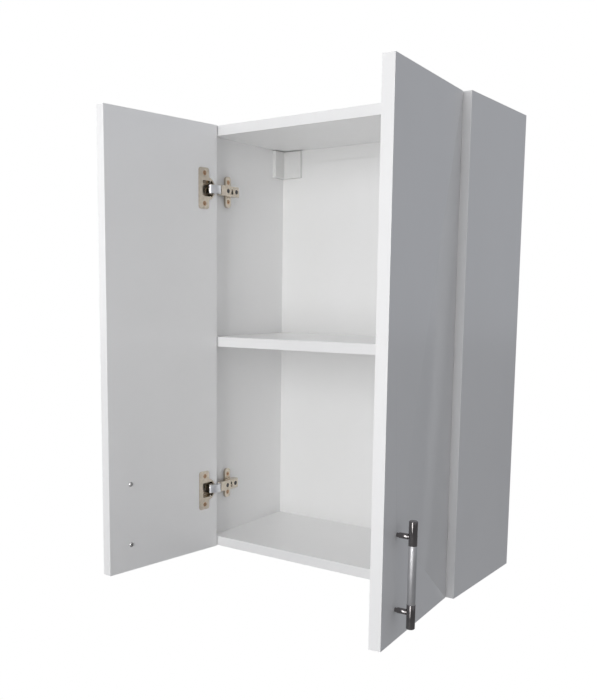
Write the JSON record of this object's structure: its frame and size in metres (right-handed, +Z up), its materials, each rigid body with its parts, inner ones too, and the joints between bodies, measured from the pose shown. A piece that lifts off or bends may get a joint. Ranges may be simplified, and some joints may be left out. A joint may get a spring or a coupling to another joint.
{
  "type": "hanging wall cabinet",
  "caption": "White hanging wall cabinet with a pair of doors on concealed cup hinges, a fixed shelf, bar handles and covered corner brackets.",
  "frame": {"origin": "on the wall plane, midway between the two wall screw holes", "axes": "+Z up, +Y into the wall, +X to the right for someone facing the cabinet"},
  "size_m": [0.5243, 0.4376, 0.7],
  "materials": {
    "white_board": "smooth white melamine",
    "white_back": "smooth white foil",
    "beech": "plain wood",
    "zinc": "zinc plated",
    "satin_steel": "satin",
    "dark_chrome": "polished",
    "nickel": "nickel plated",
    "white_plastic": "moulded white",
    "black_plastic": "moulded black"
  },
  "bodies": {
    "cabinet": {"left_side_panel": "white_board", "right_side_panel": "white_board", "top_panel": "white_board", "bottom_panel": "white_board", "back_panel": "white_back", "shelf": "white_board", "carcass_dowels": "beech", "cam_bolts": "zinc", "cam_locks": "zinc", "shelf_pins": "zinc", "back_nails": "zinc", "left_hanger_bracket": "zinc", "left_hanger_cover": "white_plastic", "left_hanger_screws": "zinc", "upper_left_hinge_arm": "nickel", "upper_left_hinge_plate": "nickel", "lower_left_hinge_arm": "nickel", "lower_left_hinge_plate": "nickel", "left_hinge_plate_screws": "nickel", "left_hinge_adjusters": "zinc", "left_hinge_springs": "zinc", "right_hanger_bracket": "zinc", "right_hanger_cover": "white_plastic", "right_hanger_screws": "zinc", "upper_right_hinge_arm": "nickel", "upper_right_hinge_plate": "nickel", "lower_right_hinge_arm": "nickel", "lower_right_hinge_plate": "nickel", "right_hinge_plate_screws": "nickel", "right_hinge_adjusters": "zinc", "right_hinge_springs": "zinc"},
    "left_outer_links": {"upper_left_outer_link": "nickel", "lower_left_outer_link": "nickel", "left_link_pins": "nickel"},
    "left_inner_links": {"upper_left_inner_link": "nickel", "lower_left_inner_link": "nickel"},
    "left_door": {"left_door": "white_board", "left_handle_grip": "satin_steel", "left_handle_ends": "dark_chrome", "left_handle_posts": "dark_chrome", "left_handle_screws": "zinc", "upper_left_hinge_cup": "nickel", "lower_left_hinge_cup": "nickel", "left_hinge_cup_screws": "nickel", "left_hinge_liners": "black_plastic"},
    "right_outer_links": {"upper_right_outer_link": "nickel", "lower_right_outer_link": "nickel", "right_link_pins": "nickel"},
    "right_inner_links": {"upper_right_inner_link": "nickel", "lower_right_inner_link": "nickel"},
    "right_door": {"right_door": "white_board", "right_handle_grip": "satin_steel", "right_handle_ends": "dark_chrome", "right_handle_posts": "dark_chrome", "right_handle_screws": "zinc", "upper_right_hinge_cup": "nickel", "lower_right_hinge_cup": "nickel", "right_hinge_cup_screws": "nickel", "right_hinge_liners": "black_plastic"}
  },
  "joints": [
    {"name": "left_hinge", "type": "hinge", "parent": "cabinet", "child": "left_outer_links", "pos_m": [-0.202, -0.205, 0], "axis": [0, 0, 1], "range_deg": [-51.2, 0.74]},
    {"name": "left_door_pivot", "type": "hinge", "parent": "left_outer_links", "child": "left_door", "pos_m": [-0.20637, -0.22176, 0], "axis": [0, 0, 1], "range_deg": [-2.19, 147.85]},
    {"name": "left_inner_pivot", "type": "hinge", "parent": "cabinet", "child": "left_inner_links", "pos_m": [-0.202, -0.197, 0], "axis": [0, 0, 1], "range_deg": [-25.62, 0.42]},
    {"name": "right_hinge", "type": "hinge", "parent": "cabinet", "child": "right_outer_links", "pos_m": [0.202, -0.205, 0], "axis": [0, 0, -1], "range_deg": [-50.09, 1.85]},
    {"name": "right_door_pivot", "type": "hinge", "parent": "right_outer_links", "child": "right_door", "pos_m": [0.20669, -0.22167, 0], "axis": [0, 0, -1], "range_deg": [-5.41, 144.63]},
    {"name": "right_inner_pivot", "type": "hinge", "parent": "cabinet", "child": "right_inner_links", "pos_m": [0.202, -0.197, 0], "axis": [0, 0, -1], "range_deg": [-24.91, 0.97]}
  ],
  "couplings": [
    {"joint": "left_door_pivot", "follows": "left_hinge", "ratio": -2.8868},
    {"joint": "left_inner_pivot", "follows": "left_hinge", "ratio": 0.49941},
    {"joint": "right_door_pivot", "follows": "right_hinge", "ratio": -2.8868},
    {"joint": "right_inner_pivot", "follows": "right_hinge", "ratio": 0.49632}
  ]
}
